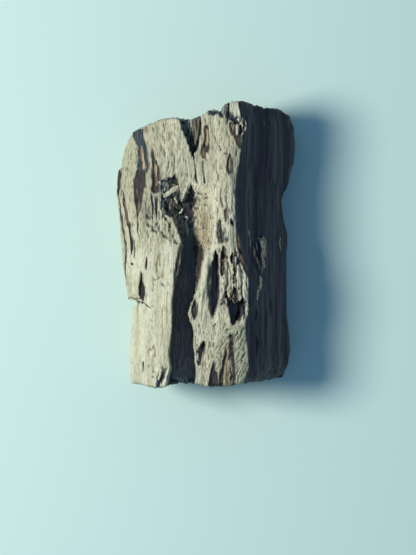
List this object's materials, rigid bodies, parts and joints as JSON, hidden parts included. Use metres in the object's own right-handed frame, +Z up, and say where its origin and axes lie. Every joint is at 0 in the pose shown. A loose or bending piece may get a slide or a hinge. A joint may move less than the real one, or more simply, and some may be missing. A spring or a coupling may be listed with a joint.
{
  "type": "palo santo wood chunk",
  "caption": "Weathered chunk of palo santo wood lying on its flattest side, with a deep open groove, rotted hollows, lens-shaped resin scars and one dark split side.",
  "frame": {"origin": "centre of the bounding box, on the surface that the chunk rests on", "axes": "+Y along the grain, away from the end where the groove opens; +X towards the steep split side; +Z up"},
  "size_m": [0.0622, 0.1, 0.038],
  "materials": {
    "wood": "bare, dry and bleached, with dark resinous scars and a dark split side"
  },
  "bodies": {
    "root": {"palo_santo_chunk": "wood"}
  },
  "joints": []
}
